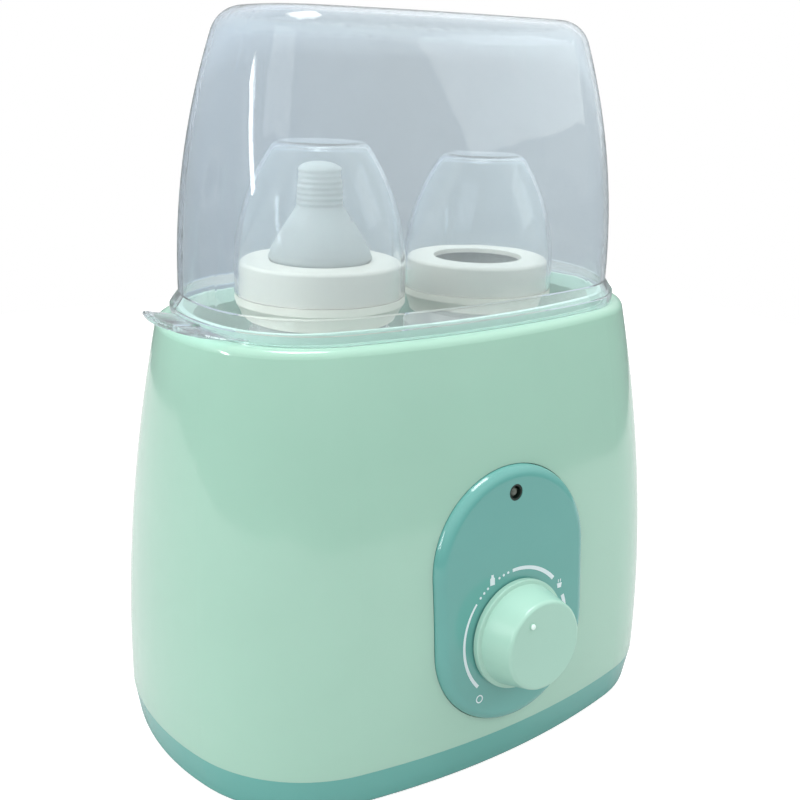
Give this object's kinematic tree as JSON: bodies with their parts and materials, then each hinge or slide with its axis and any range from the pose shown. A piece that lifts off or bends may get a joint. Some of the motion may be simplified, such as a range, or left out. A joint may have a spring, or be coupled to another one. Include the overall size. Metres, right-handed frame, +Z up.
{
  "type": "bottle warmer",
  "caption": "Countertop bottle warmer: barrel-shaped housing with a water tank, clear domed lid, front dial and lift-out bottles.",
  "frame": {"origin": "middle of the base rim's underside, on the surface it stands on", "axes": "+Z up, +X along the housing away from the lid's finger tab, -Y towards the control panel"},
  "size_m": [0.245, 0.1913, 0.2962],
  "materials": {
    "base_teal": "glossy",
    "bezel_black": "moulded",
    "block_white": "moulded",
    "board_green": "lacquered",
    "bottle_clear": "clear",
    "bulb_copper": "bare copper",
    "cap_clear": "clear",
    "clamp_steel": "zinc plated",
    "collar_white": "glossy",
    "cutoff_dark": "moulded",
    "foot_rubber": "matte",
    "gland_rubber": "matte",
    "heater_aluminium": "extruded",
    "knob_teal": "glossy",
    "lamp_grey": "clear",
    "lid_clear": "clear",
    "panel_teal": "glossy",
    "plate_steel": "brushed",
    "screw_steel": "zinc plated",
    "seal_rubber": "matte",
    "shaft_metal": "turned",
    "shell_mint": "glossy",
    "tank_mint": "satin",
    "teat_silicone": "translucent",
    "thermostat_case": "zinc plated",
    "wire_blue": "insulated",
    "wire_brown": "insulated",
    "wire_red": "insulated",
    "wire_white": "insulated"
  },
  "bodies": {
    "housing": {"outer_shell": "shell_mint", "base_pan": "base_teal", "base_screws": "screw_steel", "rubber_feet": "foot_rubber", "cord_gland": "gland_rubber", "water_tank": "tank_mint", "plate_seal": "seal_rubber", "heating_plate": "plate_steel", "plate_screws": "screw_steel", "ptc_heater": "heater_aluminium", "heater_clamp": "clamp_steel", "clamp_nuts": "screw_steel", "thermal_cutoff": "cutoff_dark", "sensor_bulb": "bulb_copper", "control_panel": "panel_teal", "panel_screws": "screw_steel", "thermostat": "thermostat_case", "shaft_nut": "screw_steel", "lamp_bezel": "bezel_black", "indicator_lamp": "lamp_grey", "lamp_board": "board_green", "terminal_block": "block_white", "wire_live": "wire_brown", "wire_neutral": "wire_blue", "wire_heater": "wire_red", "wire_switched": "wire_red", "wire_lamp": "wire_white", "capillary_tube": "bulb_copper"},
    "lid": {"lid": "lid_clear"},
    "dial": {"knob": "knob_teal", "thermostat_shaft": "shaft_metal"},
    "left_bottle": {"bottle_left": "bottle_clear", "collar_left": "collar_white", "teat_left": "teat_silicone", "cap_left": "cap_clear"},
    "right_bottle": {"bottle_right": "bottle_clear", "collar_right": "collar_white", "cap_right": "cap_clear"}
  },
  "joints": [
    {"name": "lid_lift", "type": "slide", "parent": "housing", "child": "lid", "axis": [0, 0, 1], "range_m": [0, 0.12]},
    {"name": "knob_turn", "type": "hinge", "parent": "housing", "child": "dial", "pos_m": [0, -0.0852, 0.0623], "axis": [0, -0.9947, 0.1028], "range_deg": [-134, 105]},
    {"name": "bottle_left_lift", "type": "slide", "parent": "housing", "child": "left_bottle", "axis": [0, 0, 1], "range_m": [0, 0.04]},
    {"name": "bottle_right_lift", "type": "slide", "parent": "housing", "child": "right_bottle", "axis": [0, 0, 1], "range_m": [0, 0.04]}
  ]
}
